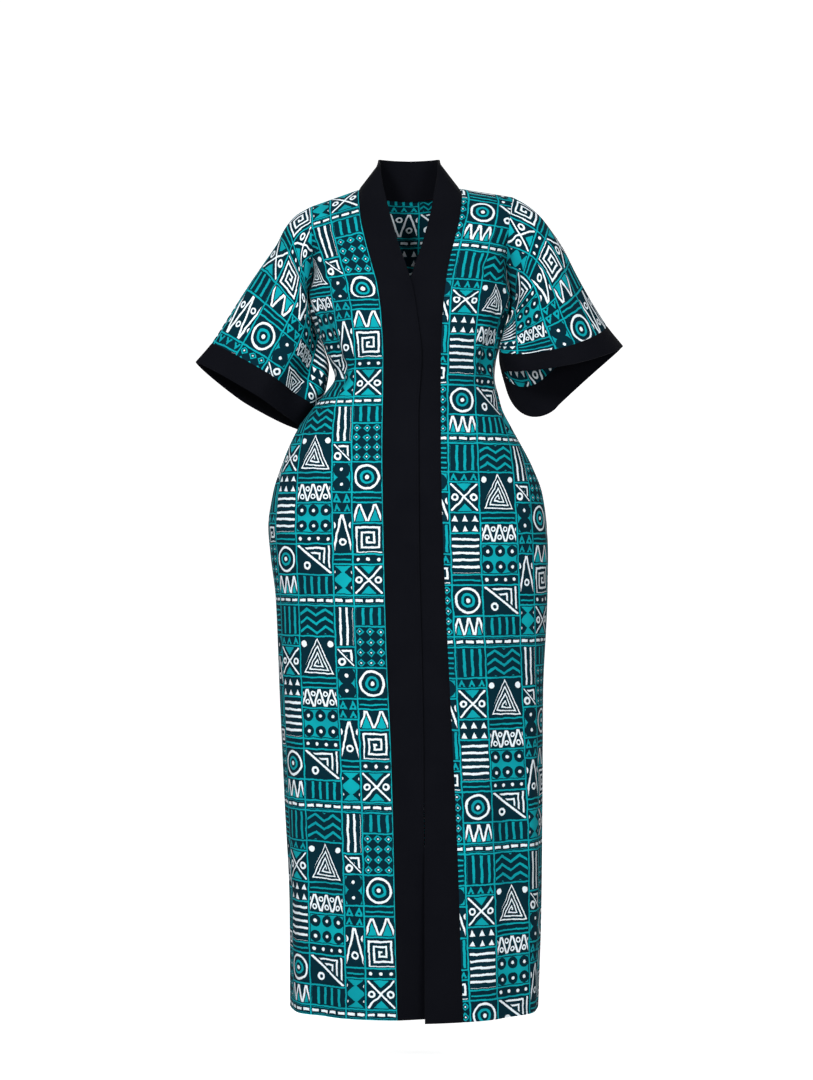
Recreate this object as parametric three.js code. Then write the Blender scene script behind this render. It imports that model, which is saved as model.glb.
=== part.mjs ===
// A floor-length open duster coat with wide short sleeves, kept hollow in the shape it has when worn.
// Two fronts and a back meet at side and shoulder seams. A plain band is sewn along both front edges
// and stands up round the neck. The sleeves are set into armholes and end in plain cuff bands.
// The right front laps over the left one from the neck to the knee, and below that the left one over it.
// Millimetres, +Z up, the front faces -Y. Right and left are the wearer's, so right is -X.
// The origin is midway between the two points where the shoulder seams meet the neck band.
import * as THREE from 'three';

// Driving sizes
const HEM = -1423;              // height of the hem
const UNDERARM = -201;          // height of the bottom of the armholes
const ARMHOLE_MID = -130;       // height where an armhole is deepest from front to back
const ARMHOLE_REACH = 62;       // how far an armhole reaches in front of and behind the side seam
const NECK_HALF = 88;           // half the distance between the two shoulder neck points
const NECK_BACK = 75;           // how far the neck seam reaches behind the shoulder seams
const NECK_DIP = 8;             // how far the neck seam dips at the centre back
const SHOULDER_ROLL = 90;       // height over which the cloth rolls over the shoulders
const ROUND = 2.3;              // power of the body's sections, 2 for an ellipse
const CLOTH = 1.8;              // wall of the printed cloth
const BAND_CLOTH = 2.4;         // wall of the doubled, faced bands
const SEAM_GAP = 0.3;           // distance between two pieces at a seam
const MITRE_LIMIT = 0.4;        // keeps the edge of a sharp corner from moving too far

// How many cells each piece has
const FRONT_COLUMNS = 10;
const NECK_COLUMNS = 4;
const BAND_COLUMNS = 3;
const UNDERARM_ROWS = 5;
const ROLL_ROWS = 6;
const CUFF_ROWS = 2;
const SLEEVE_BLEND = 0.4;       // share of the sleeve over which the armhole's shape fades
const HANG_LEAN = 0.6;          // how much more the back of a sleeve hangs towards its lower end
const CUFF_DEPTH = 0.15;        // the cuff's depth as a share of the sleeve's length

const SIDES = [
  { name: 'right', sign: -1, shoulderX: 173, shoulderZ: -30, neckZ: 0 },
  { name: 'left', sign: 1, shoulderX: 182, shoulderZ: -13, neckZ: 2 },
];

const radians = (degrees) => (degrees * Math.PI) / 180;
const mix = (a, b, share) => a + (b - a) * share;
const clamp = (value, low, high) => Math.min(high, Math.max(low, value));
const smooth = (share) => share * share * (3 - 2 * share);
const swellAt = (share) => Math.pow(Math.sin(Math.PI * share), 1.5);

// Rows of numbers as objects with named columns
function table(columns, rows) {
  return rows.map((row) => Object.fromEntries(columns.map((name, i) => [name, row[i]])));
}

// A smooth curve through one column of a table, without overshoot
function curve(rows, key, column) {
  const at = rows.map((row) => row[key]);
  const value = rows.map((row) => row[column]);
  const last = rows.length - 1;
  const rise = at.slice(1).map((x, i) => (value[i + 1] - value[i]) / (x - at[i]));
  const slope = at.map((x, i) => {
    if (i === 0) return rise[0];
    if (i === last) return rise[last - 1];
    const [before, after] = [rise[i - 1], rise[i]];
    return before * after <= 0 ? 0 : (2 * before * after) / (before + after);
  });
  return (where) => {
    const x = clamp(where, Math.min(at[0], at[last]), Math.max(at[0], at[last]));
    let i = 0;
    while (i < last - 1 && (x - at[i + 1]) * (at[last] - at[0]) > 0) i += 1;
    const width = at[i + 1] - at[i];
    const t = (x - at[i]) / width;
    const h = smooth(t);
    return (
      value[i] * (1 - h) + value[i + 1] * h +
      width * t * (1 - t) * ((1 - t) * slope[i] - t * slope[i + 1])
    );
  };
}

// All named columns of a table as curves over its key
function curves(key, columns, rows) {
  const named = table([key, ...columns], rows);
  return Object.fromEntries(columns.map((name) => [name, curve(named, key, name)]));
}

// Body sections: half widths to the right and left side seams, depth of each front, depth of the back
const SECTIONS = curves('level', ['right', 'left', 'frontRight', 'frontLeft', 'back'], [
  [0, 205, 210, 66, 66, 84],
  [-50, 202, 206, 82, 82, 98],
  [-100, 196, 199, 100, 100, 109],
  [-150, 187, 190, 117, 117, 114],
  [-201, 177, 179, 134, 134, 112],
  [-240, 163, 168, 145, 145, 107],
  [-280, 147, 157, 147, 147, 99],
  [-301, 139, 152, 143, 143, 95],
  [-329, 129.5, 149.5, 134, 134, 90],
  [-359, 148.5, 156, 130, 130, 94],
  [-385, 170, 163, 131, 131, 102],
  [-418, 194, 180, 134, 134, 113],
  [-486, 224, 216, 141, 141, 134],
  [-532, 238, 233, 145, 145, 144],
  [-590, 246, 241, 147, 147, 149],
  [-639, 242, 243, 147, 147, 149],
  [-714, 233, 242, 145, 145, 146],
  [-882, 226, 234.5, 142, 142, 138],
  [-1060, 218, 233.5, 140, 140, 131],
  [-1250, 209, 231.5, 140, 151, 128],
  [HEM, 208, 226, 140, 162, 129],
]);

// The seams between the fronts and the band, as distances from the centre line
const BAND_SEAMS = curves('level', ['right', 'left'], [
  [0, 88, 88],
  [-15, 87.5, 92],
  [-55, 84, 88],
  [-99, 75, 78],
  [-137, 65, 69],
  [-178, 54.5, 62],
  [-232, 47.5, 57],
  [-303, 44, 54],
  [-460, 45.5, 54],
  [-630, 43, 58],
  [-798, 38.5, 65.5],
  [-966, 31, 74],
  [-1060, 28, 78.5],
  [-1170, 25.5, 83],
  [-1330, 22, 88],
  [HEM, 20, 92],
]);

// The band's free edges on the fronts, one row for each height of the seam beside them: x, how much
// higher than the seam the edge is, and how far it stands in front of the front it belongs to
const EDGE_COLUMNS = ['x', 'rise', 'lift'];
const BAND_EDGES = {
  right: curves('level', EDGE_COLUMNS, [
    [0, -52, 46, 8],
    [-12, -48, 27, 6],
    [-26, -41, 9, 4],
    [-55, -30, -7, 4],
    [-99, -17, -11, 3],
    [-137, -5, -9, 3.5],
    [-178, 6.5, -8, 4.5],
    [-232, 14, -4, 4.5],
    [-303, 21, 0, 5],
    [-400, 15.5, 0, 5],
    [-630, 17, 0, 4.5],
    [-798, 21, 0, 4.5],
    [-966, 24, 0, 4.5],
    [-1060, 24.5, 0, 3],
    [-1110, 25.5, 0, 0],
    [-1170, 26.5, 0, -3],
    [-1330, 28, 0, -8],
    [HEM, 28.5, 0, -11],
  ]),
  left: curves('level', EDGE_COLUMNS, [
    [0, 52, 48, 8],
    [-12, 49, 30, 6],
    [-26, 43, 12, 3],
    [-55, 35, -4, 2],
    [-99, 22, -9, 0],
    [-137, 8, -12, -1],
    [-178, -1, -8, -1.5],
    [-232, -4, -4, -1.5],
    [-303, -6, 0, -1.5],
    [-460, -5, 0, -1.5],
    [-630, -1, 0, -1.5],
    [-798, 7, 0, -1.5],
    [-966, 17.5, 0, -1.5],
    [-1060, 25, 0, -0.5],
    [-1110, 26.5, 0, 1.5],
    [-1170, 26, 0, 3],
    [HEM, 26.5, 0, 4],
  ]),
};

// The band's top edge round the back of the neck, by share of the way from the shoulder to the centre back
const NECK_EDGE = curves('share', ['x', 'y', 'z'], [
  [0, 52, -8, 46],
  [0.28, 54, 18, 56],
  [0.55, 46, 43, 60],
  [0.78, 27, 58, 61],
  [1, 0, 64, 61],
]);

// Soft folds of the body: place round it in degrees from the centre front, its drift to the lower end,
// the two ends, half width in degrees, and height, negative for a trough
const FOLDS = table(['turn', 'drift', 'top', 'bottom', 'width', 'height'], [
  [-66, 14, -195, -375, 8, -9],
  [-50, 6, -215, -390, 7, 5],
  [66, -12, -195, -375, 8, -9],
  [52, -6, -220, -390, 7, 4],
  [-40, -6, -560, -2200, 8, -5],
  [-62, 2, -640, -2200, 9, 5],
  [42, 8, -520, -2200, 8, -5],
  [64, 2, -560, -2200, 8, 5],
  [112, -3, -420, -2200, 9, -8],
  [130, 2, -260, -2000, 8, 7],
  [148, 4, -430, -2200, 9, -10],
  [165, -5, -215, -540, 6, -8],
  [172, 2, -480, -2200, 9, 8],
  [-112, 4, -420, -2200, 9, -8],
  [-130, -3, -260, -2000, 8, 7],
  [-150, 2, -400, -2200, 9, -10],
  [-163, 4, -215, -540, 6, -8],
  [-174, -3, -500, -2200, 8, 6],
]);

// Sleeve rings from the armhole at 0, by way of the cuff seam at 1, to the cuff's edge: the highest and
// lowest point of each ring, how far it bulges in front and behind, how far the front sags and the back
// hangs, and the power of its outline, where less than 2 pinches both ends
const RING_COLUMNS = [
  'topX', 'topY', 'topZ', 'lowX', 'lowY', 'lowZ', 'front', 'back', 'sag', 'hang', 'power',
];
const SLEEVES = {
  right: curves('along', RING_COLUMNS, [
    [0, -173, 0, -30, -177, 0, -201, 62, 62, 0, 0, 2],
    [0.1, -198, 0, -45, -180.5, 7, -219, 65, 65, 0, 2, 2],
    [0.2, -217, 0, -67, -171.5, 19, -237, 67, 67, 0, 4, 1.95],
    [0.3, -231, 0, -94, -161.5, 31, -254, 68, 68, 1, 3, 1.9],
    [0.45, -256, -1, -131, -149, 42, -281, 67, 66, 1, 4, 1.8],
    [0.6, -281, -2, -168, -141.5, 45, -308, 66, 64, 2, 3, 1.7],
    [0.8, -313, -3, -218, -147, 45, -346, 64, 61, 3, 3, 1.62],
    [1, -345, -4, -268, -166, 47, -378, 62, 59, 4, 3, 1.55],
    [1.15, -373, -5, -301, -188, 58, -418, 63, 60, 5, 4, 1.5],
  ]),
  left: curves('along', RING_COLUMNS, [
    [0, 182, 0, -13, 179, 0, -201, 62, 62, 0, 0, 2],
    [0.1, 206, -1, -27, 181, -8, -213, 65, 65, 0, 3, 2],
    [0.2, 228, -3, -46, 175.5, -20, -224, 68, 67, 1, 7, 1.95],
    [0.3, 245, -5, -68, 170.5, -30, -234, 70, 69, 3, 12, 1.9],
    [0.45, 268, -8, -103, 164.5, -40, -247, 72, 70, 5, 20, 1.85],
    [0.6, 289, -10, -145, 161.5, -46, -259, 73, 71, 8, 31, 1.8],
    [0.8, 318, -13, -197, 157, -48, -273, 73, 72, 17, 48, 1.75],
    [1, 344, -15, -238, 155.5, -46, -287, 72, 72, 22, 64, 1.7],
    [1.15, 372.5, -18, -274, 164, -40, -319, 73, 72, 17, 82, 1.65],
  ]),
};

// Soft folds of the sleeves: place round the ring in degrees from its highest point towards the front,
// its drift, both ends along the sleeve, half width in degrees, and height
const SLEEVE_FOLDS = table(['turn', 'drift', 'from', 'to', 'width', 'height'], [
  [128, -14, 0.02, 1.3, 16, -11],
  [98, -10, 0.02, 0.75, 12, 4],
  [58, 8, -0.1, 0.5, 12, -5],
  [-60, -10, -0.1, 0.6, 12, -5],
  [-128, 14, 0.02, 1.3, 16, -9],
  [-95, 8, 0.1, 0.9, 12, 4],
]);

// Heights of the rows below the armholes, closer together where the outline turns
const LOWER_ROWS = [
  HEM, -1330, -1250, -1170, -1110, -1060, -966, -882, -798, -714, -639, -590, -532, -486, -450,
  -418, -385, -359, -343, -329, -314, -300, -280, -252, -226, UNDERARM,
];

// All row heights from the hem to the shoulder seams
function rowLevels() {
  const levels = [...LOWER_ROWS];
  for (let i = 1; i <= UNDERARM_ROWS; i += 1) {
    levels.push(mix(ARMHOLE_MID, UNDERARM, Math.cos(radians((90 * i) / UNDERARM_ROWS))));
  }
  for (let i = 0; i <= ROLL_ROWS; i += 1) {
    levels.push(-SHOULDER_ROLL * (1 - Math.sin(radians((90 * i) / ROLL_ROWS))));
  }
  return levels;
}

const LEVELS = rowLevels();
const UNDERARM_ROW = LOWER_ROWS.length - 1;

const fall = (share) => Math.pow(Math.max(0, 1 - Math.pow(Math.abs(share), ROUND)), 1 / ROUND);
const turnAt = (x, half) => Math.acos(Math.pow(clamp(x / half, 0, 1), ROUND / 2));
const reachAt = (turn, half) => half * Math.pow(Math.max(0, Math.cos(turn)), 2 / ROUND);

// How far the cloth has rolled over the shoulder at a level: 0 on the seam, 1 below the roll
const roll = (level) => Math.sqrt(1 - Math.pow(1 - clamp(-level / SHOULDER_ROLL, 0, 1), 2));

// Height of the shoulder seam, and behind the neck of the neck seam, at a distance from the centre
function ridgeHeight(side, x) {
  if (x >= NECK_HALF) {
    return mix(side.neckZ, side.shoulderZ, (x - NECK_HALF) / (side.shoulderX - NECK_HALF));
  }
  return side.neckZ * smooth(x / NECK_HALF) - NECK_DIP * (1 - Math.pow(x / NECK_HALF, 2));
}

// Outward push of the body's folds at a place round it, in degrees from the centre front
function foldPush(turn, z) {
  return FOLDS.reduce((sum, fold) => {
    const along = (fold.top - z) / (fold.top - fold.bottom);
    if (along <= 0 || along >= 1) return sum;
    const apart = turn - fold.turn - fold.drift * along;
    const away = (apart - 360 * Math.round(apart / 360)) / fold.width;
    return sum + fold.height * swellAt(along) * Math.exp(-away * away);
  }, 0);
}

// A point of the coat's body. face is 'front' or 'back', x its distance from the centre line
function bodyPoint(side, face, x, level) {
  const half = SECTIONS[side.name](level);
  const isFront = face === 'front';
  const depth = isFront
    ? -SECTIONS[side.name === 'right' ? 'frontRight' : 'frontLeft'](level)
    : SECTIONS.back(level);
  const seamY = isFront ? 0 : NECK_BACK * Math.sqrt(Math.max(0, 1 - Math.pow(x / NECK_HALF, 2)));
  const full = depth * fall(x / half);
  const y = mix(seamY, full, roll(level));
  const lean = level > UNDERARM ? 1 - level / UNDERARM : 0;
  const z = level + lean * ridgeHeight(side, x);
  const turn = turnAt(x, half);
  const degrees = (turn * 180) / Math.PI;
  const push = foldPush(side.sign * (isFront ? 90 - degrees : 90 + degrees), z);
  const out = new THREE.Vector2(Math.cos(turn) / half, (Math.sign(depth) * Math.sin(turn)) / Math.abs(depth));
  out.normalize().multiplyScalar(push);
  return new THREE.Vector3(side.sign * (x + out.x), y + out.y, z);
}

// Distance from the centre line at which a row of the body ends, at the side seam or the armhole
function rowEnd(side, face, level) {
  const half = SECTIONS[side.name](level);
  if (level <= UNDERARM) return half;
  const depthAt = (where) => (face === 'front' ? SECTIONS.frontRight(where) : SECTIONS.back(where));
  const xAt = (where, reach) => {
    const share = Math.min(1, reach / (depthAt(where) * roll(where)));
    return SECTIONS[side.name](where) * fall(share);
  };
  if (level <= ARMHOLE_MID) {
    const down = (level - ARMHOLE_MID) / (UNDERARM - ARMHOLE_MID);
    return xAt(level, ARMHOLE_REACH * Math.sqrt(Math.max(0, 1 - down * down)));
  }
  const up = 1 - level / ARMHOLE_MID;
  return mix(xAt(ARMHOLE_MID, ARMHOLE_REACH), side.shoulderX, up * up);
}

// Points from one distance to another along a row of the body, evenly spaced in turn
function rowPoints(side, face, level, from, to, count) {
  const half = SECTIONS[side.name](level);
  const [start, end] = [turnAt(from, half), turnAt(to, half)];
  return Array.from({ length: count + 1 }, (_, i) => {
    const x = i === 0 ? from : i === count ? to : reachAt(mix(start, end, i / count), half);
    return bodyPoint(side, face, x, level);
  });
}

function frontGrid(side) {
  return LEVELS.map((level) => {
    const seam = level === 0 ? NECK_HALF : BAND_SEAMS[side.name](level);
    return rowPoints(side, 'front', level, seam, rowEnd(side, 'front', level), FRONT_COLUMNS);
  });
}

// The back runs from the right side seam to the left one; its columns meet the fronts' at the shoulders
function backGrid() {
  return LEVELS.map((level) => {
    const halves = SIDES.map((side) => {
      const split = mix(NECK_HALF * 0.8, NECK_HALF, Math.max(0, 1 - level / UNDERARM));
      const inner = rowPoints(side, 'back', level, 0, split, NECK_COLUMNS);
      const outer = rowPoints(side, 'back', level, split, rowEnd(side, 'back', level), FRONT_COLUMNS);
      return [...inner, ...outer.slice(1)];
    });
    return [...halves[0].reverse(), ...halves[1].slice(1)];
  });
}

// How far forward the body stands at a distance from the centre line, at a height
function frontDepth(side, x, height) {
  const level = Math.min(0, height);
  const depth = SECTIONS[side.name === 'right' ? 'frontRight' : 'frontLeft'](level);
  return depth * fall(x / SECTIONS[side.name](level));
}

// The band runs from the hem up the front edge, past the shoulder and round to the centre back
function bandGrid(side, front, back) {
  const edges = BAND_EDGES[side.name];
  const shares = Array.from({ length: BAND_COLUMNS + 1 }, (_, j) => j / BAND_COLUMNS);
  const rows = LEVELS.map((level, i) => {
    const seam = front[i][0];
    const height = level + edges.rise(level);
    const depthAt = (x) => frontDepth(side, x, height) * roll(level);
    const x = edges.x(level);
    const free = new THREE.Vector3(x, -depthAt(x) - edges.lift(level), height);
    return shares.map((share) => {
      const point = seam.clone().lerp(free, share);
      point.y -= depthAt(point.x) - mix(depthAt(seam.x), depthAt(x), share);
      return point;
    });
  });
  const centre = FRONT_COLUMNS + NECK_COLUMNS;
  for (let i = 1; i <= NECK_COLUMNS; i += 1) {
    const round = i / NECK_COLUMNS;
    const seam = back[back.length - 1][centre + side.sign * (NECK_COLUMNS - i)];
    const free = new THREE.Vector3(side.sign * NECK_EDGE.x(round), NECK_EDGE.y(round), NECK_EDGE.z(round));
    rows.push(shares.map((share) => seam.clone().lerp(free, share)));
  }
  return rows;
}

// The armhole's edge as a closed loop: up its front from the underarm, and down its back
function armholeLoop(side, front, back) {
  const column = side.name === 'right' ? 0 : 2 * (FRONT_COLUMNS + NECK_COLUMNS);
  const up = front.slice(UNDERARM_ROW).map((row) => row[FRONT_COLUMNS]);
  const down = back.slice(UNDERARM_ROW + 1, -1).map((row) => row[column]).reverse();
  return [...up, ...down];
}

// A ring's centre, its half axis to the highest point, and the directions of its front and back bulge
function ringFrame(side, along) {
  const ring = SLEEVES[side.name];
  const top = new THREE.Vector3(ring.topX(along), ring.topY(along), ring.topZ(along));
  const low = new THREE.Vector3(ring.lowX(along), ring.lowY(along), ring.lowZ(along));
  const centre = top.clone().add(low).multiplyScalar(0.5);
  const up = top.clone().sub(centre);
  return { centre, up };
}

function sleevePoint(side, along, turn) {
  const ring = SLEEVES[side.name];
  const { centre, up } = ringFrame(side, along);
  const forward = new THREE.Vector3(up.y, -up.x, 0).normalize();
  if (forward.y > 0) forward.negate();
  forward.lerp(new THREE.Vector3(0, -1, 0), 1 - Math.min(1, along)).normalize();
  const power = 2 / ring.power(along);
  const [rise, out] = [Math.cos(turn), Math.sin(turn)];
  const isFront = out >= 0;
  const swell = Math.pow(Math.abs(out), power);
  const bulge = forward.multiplyScalar(isFront ? ring.front(along) : -ring.back(along));
  const drop = isFront ? ring.sag(along) : ring.hang(along) * (1 - HANG_LEAN * rise);
  const point = centre.clone()
    .addScaledVector(up, Math.sign(rise) * Math.pow(Math.abs(rise), power))
    .addScaledVector(bulge, swell);
  point.z -= drop * swell;
  return point.addScaledVector(bulge.normalize(), sleeveFoldPush((turn * 180) / Math.PI, along));
}

// Outward push of a sleeve's folds, at a place round the ring in degrees from its highest point
function sleeveFoldPush(degrees, along) {
  return SLEEVE_FOLDS.reduce((sum, fold) => {
    const share = (along - fold.from) / (fold.to - fold.from);
    if (share <= 0 || share >= 1) return sum;
    const away = (degrees - fold.turn - fold.drift * share) / fold.width;
    return sum + fold.height * swellAt(share) * Math.exp(-away * away);
  }, 0);
}

// Rings of a sleeve or its cuff. The armhole's own shape fades into the sleeve's form along the first rings
function sleeveGrid(side, loop, alongs) {
  const { centre, up } = ringFrame(side, 0);
  const topIndex = LEVELS.length - 1 - UNDERARM_ROW;
  const turns = loop.map((seam, i) => {
    const share = clamp(seam.clone().sub(centre).dot(up) / up.lengthSq(), -1, 1);
    return i <= topIndex ? Math.acos(share) : -Math.acos(share);
  });
  const strays = loop.map((seam, i) => seam.clone().sub(sleevePoint(side, 0, turns[i])));
  return alongs.map((along) => {
    const left = 1 - smooth(clamp(along / SLEEVE_BLEND, 0, 1));
    return turns.map((turn, i) => sleevePoint(side, along, turn).addScaledVector(strays[i], left));
  });
}

// One face normal for each corner of a grid's cells, added up at each point. Points that several pieces
// share get one common normal, so that their walls meet face to face
function addNormals(piece, sums) {
  const { grid, closed, flip } = piece;
  const width = grid[0].length;
  const columns = closed ? width : width - 1;
  for (let i = 0; i < grid.length - 1; i += 1) {
    for (let j = 0; j < columns; j += 1) {
      const corners = [grid[i][j], grid[i][(j + 1) % width], grid[i + 1][(j + 1) % width], grid[i + 1][j]];
      const normal = corners[2].clone().sub(corners[0]).cross(corners[3].clone().sub(corners[1]));
      if (normal.lengthSq() < 1e-9) continue;
      normal.normalize().multiplyScalar(flip ? -1 : 1);
      corners.forEach((point) => {
        const key = keyOf(point);
        sums.set(key, (sums.get(key) || new THREE.Vector3()).add(normal));
      });
    }
  }
}

const keyOf = (point) => [point.x, point.y, point.z].map((value) => Math.round(value * 100)).join();

// Where a point of an edge goes when both sides of its corner move into the piece by half a seam gap
function drawnPoint(point, before, after, inner, normal) {
  const ways = [point.clone().sub(before), after.clone().sub(point)]
    .filter((step) => step.lengthSq() > 1e-9)
    .map((step) => step.cross(normal).normalize());
  const sum = ways.reduce((a, b) => a.clone().add(b));
  const turned = ways.length === 1 ? 1 : 1 + ways[0].dot(ways[1]);
  const shift = sum.multiplyScalar(SEAM_GAP / 2 / Math.max(turned, MITRE_LIMIT));
  return point.clone().addScaledVector(shift, Math.sign(shift.dot(inner.clone().sub(point))) || 1);
}

// A grid with each of its outer edges moved into the piece by half a seam gap
function drawnGrid(grid, normals, closed) {
  const rows = grid.length;
  const width = grid[0].length;
  const moved = grid.map((row) => row.map((point) => point.clone()));
  const draw = (i, j, [bi, bj], [ai, aj], [ni, nj]) => {
    const target = drawnPoint(grid[i][j], grid[bi][bj], grid[ai][aj], grid[ni][nj], normals[i][j]);
    moved[i][j].add(target.sub(grid[i][j]));
  };
  for (let j = 0; j < width; j += 1) {
    const before = closed ? (j + width - 1) % width : Math.max(0, j - 1);
    const after = closed ? (j + 1) % width : Math.min(width - 1, j + 1);
    draw(0, j, [0, before], [0, after], [1, j]);
    draw(rows - 1, j, [rows - 1, before], [rows - 1, after], [rows - 2, j]);
  }
  for (let i = 0; i < rows && !closed; i += 1) {
    const [before, after] = [Math.max(0, i - 1), Math.min(rows - 1, i + 1)];
    draw(i, 0, [before, 0], [after, 0], [i, 1]);
    draw(i, width - 1, [before, width - 1], [after, width - 1], [i, width - 2]);
  }
  return moved;
}

// A closed wall: the grid is its outside, and its inside lies one thickness behind
function wallGeometry(piece, sums) {
  const { grid, closed, flip, thickness } = piece;
  const [rows, width] = [grid.length, grid[0].length];
  const normals = grid.map((row) => row.map((point) => sums.get(keyOf(point)).clone().normalize()));
  const outer = drawnGrid(grid, normals, closed);
  const inner = outer.map((row, i) =>
    row.map((point, j) => point.clone().addScaledVector(normals[i][j], -thickness)),
  );
  const positions = [...outer.flat(), ...inner.flat()].flatMap((point) => point.toArray());
  const layer = rows * width;
  const at = (i, j, isInner) => (isInner ? layer : 0) + i * width + (j % width);
  const indices = [];
  const quad = (a, b, c, d) => indices.push(...(flip ? [a, d, c, a, c, b] : [a, b, c, a, c, d]));
  const columns = closed ? width : width - 1;
  for (let i = 0; i < rows - 1; i += 1) {
    for (let j = 0; j < columns; j += 1) {
      quad(at(i, j), at(i, j + 1), at(i + 1, j + 1), at(i + 1, j));
      quad(at(i, j, true), at(i + 1, j, true), at(i + 1, j + 1, true), at(i, j + 1, true));
    }
  }
  // Both pieces at a seam split their rims the same way, or a twisted seam would make them overlap
  const rim = (p, q, corners) => {
    const isFirst = keyOf(grid[p[0]][p[1] % width]) < keyOf(grid[q[0]][q[1] % width]);
    quad(...(isFirst ? corners : [...corners.slice(1), corners[0]]));
  };
  for (let j = 0; j < columns; j += 1) {
    rim([0, j], [0, j + 1], [at(0, j), at(0, j, true), at(0, j + 1, true), at(0, j + 1)]);
    const top = rows - 1;
    rim([top, j], [top, j + 1], [at(top, j), at(top, j + 1), at(top, j + 1, true), at(top, j, true)]);
  }
  if (!closed) {
    for (let i = 0; i < rows - 1; i += 1) {
      const end = width - 1;
      rim([i, 0], [i + 1, 0], [at(i, 0), at(i + 1, 0), at(i + 1, 0, true), at(i, 0, true)]);
      rim([i, end], [i + 1, end], [at(i, end), at(i, end, true), at(i + 1, end, true), at(i + 1, end)]);
    }
  }
  const geometry = new THREE.BufferGeometry();
  geometry.setAttribute('position', new THREE.Float32BufferAttribute(positions, 3));
  geometry.setIndex(indices);
  geometry.computeVertexNormals();
  return geometry;
}

const clothMaterial = (name, color, roughness) =>
  new THREE.MeshStandardMaterial({ name, color, roughness, metalness: 0 });
const PRINT = clothMaterial('print', 0x0b6a72, 0.8);
const BLACK = clothMaterial('band', 0x101218, 0.85);

const SLEEVE_RINGS = [0, 0.06, 0.13, 0.22, 0.33, 0.46, 0.6, 0.74, 0.87, 1];
const CUFF_RINGS = Array.from({ length: CUFF_ROWS + 1 }, (_, i) => 1 + (CUFF_DEPTH * i) / CUFF_ROWS);

function coatPieces() {
  const back = backGrid();
  const pieces = [{ name: 'back', grid: back, flip: true, thickness: CLOTH, material: PRINT }];
  SIDES.forEach((side) => {
    const isRight = side.name === 'right';
    const front = frontGrid(side);
    const loop = armholeLoop(side, front, back);
    const add = (name, grid, flip, thickness, material, closed = false) =>
      pieces.push({ name: `${name}_${side.name}`, grid, flip, thickness, material, closed });
    add('front', front, isRight, CLOTH, PRINT);
    add('band', bandGrid(side, front, back), !isRight, BAND_CLOTH, BLACK);
    add('sleeve', sleeveGrid(side, loop, SLEEVE_RINGS), !isRight, CLOTH, PRINT, true);
    add('cuff', sleeveGrid(side, loop, CUFF_RINGS), !isRight, BAND_CLOTH, BLACK, true);
  });
  return pieces;
}

const coat = new THREE.Group();
const pieces = coatPieces();
const normalSums = new Map();
pieces.forEach((piece) => addNormals(piece, normalSums));
pieces.forEach((piece) => {
  const mesh = new THREE.Mesh(wallGeometry(piece, normalSums), piece.material);
  mesh.name = piece.name;
  coat.add(mesh);
});

export default coat;
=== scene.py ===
"""Looks of a floor-length duster coat with wide short sleeves, in the hollow form it has when worn.

Each cut piece is a thin shell on the form of its solid, with finer rows, softer folds and printed or plain
cloth. Sizes are millimetres until a mesh is made. +Z is up, the front faces -Y, right is the wearer's.
"""

import math

import bpy
import numpy as np
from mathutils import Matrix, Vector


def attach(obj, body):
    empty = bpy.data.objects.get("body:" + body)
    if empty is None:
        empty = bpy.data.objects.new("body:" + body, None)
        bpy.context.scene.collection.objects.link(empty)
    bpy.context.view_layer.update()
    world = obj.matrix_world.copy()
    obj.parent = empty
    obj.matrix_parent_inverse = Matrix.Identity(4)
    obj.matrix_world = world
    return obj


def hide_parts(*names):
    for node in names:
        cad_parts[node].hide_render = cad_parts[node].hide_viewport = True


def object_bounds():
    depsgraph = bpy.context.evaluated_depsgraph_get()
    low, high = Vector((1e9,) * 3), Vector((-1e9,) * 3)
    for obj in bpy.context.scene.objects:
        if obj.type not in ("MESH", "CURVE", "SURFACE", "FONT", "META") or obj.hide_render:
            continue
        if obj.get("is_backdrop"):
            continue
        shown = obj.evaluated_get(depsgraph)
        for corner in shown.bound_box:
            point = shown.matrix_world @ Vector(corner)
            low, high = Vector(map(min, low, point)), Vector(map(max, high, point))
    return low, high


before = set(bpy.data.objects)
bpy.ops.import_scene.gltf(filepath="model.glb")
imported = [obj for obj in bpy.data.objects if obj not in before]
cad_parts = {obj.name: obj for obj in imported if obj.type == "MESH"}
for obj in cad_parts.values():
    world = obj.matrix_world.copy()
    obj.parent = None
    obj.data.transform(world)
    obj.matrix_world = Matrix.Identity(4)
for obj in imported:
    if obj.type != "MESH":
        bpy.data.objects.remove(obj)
cad_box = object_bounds()

MM = 0.001
TINY = 1e-9

# The form's driving sizes, as in the solids
HEM = -1423
UNDERARM = -201
ARMHOLE_MID = -130
ARMHOLE_REACH = 62
NECK_HALF = 88
NECK_BACK = 75
NECK_DIP = 8
SHOULDER_ROLL = 90
ROUND = 2.3
SLEEVE_BLEND = 0.4
HANG_LEAN = 0.6
CUFF_END = 1.15

# How finely each piece is made
FRONT_COLUMNS = 48
NECK_COLUMNS = 16
BAND_COLUMNS = 12
LOWER_ROWS = 205
UNDERARM_ROWS = 16
CHEST_ROWS = 7
ROLL_ROWS = 20
SLEEVE_RINGS = 72
RING_CROWDING = 1.35
CUFF_RINGS = 9
# Share of the neck's half width that the back's columns for the neck span below the underarm
NECK_PANEL_SHARE = 0.8
# Points within one step are taken as one where the shells are joined
WELD_STEPS_PER_MM = 100

# Thickness of both cloths, how far a sewn edge is pressed in, and the angle in degrees of a sharp edge
THICKNESS = {"print_cloth": 1, "band_cloth": 2}
SEAM_DIP = 0.7
SHARP_ANGLE = 50

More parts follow.
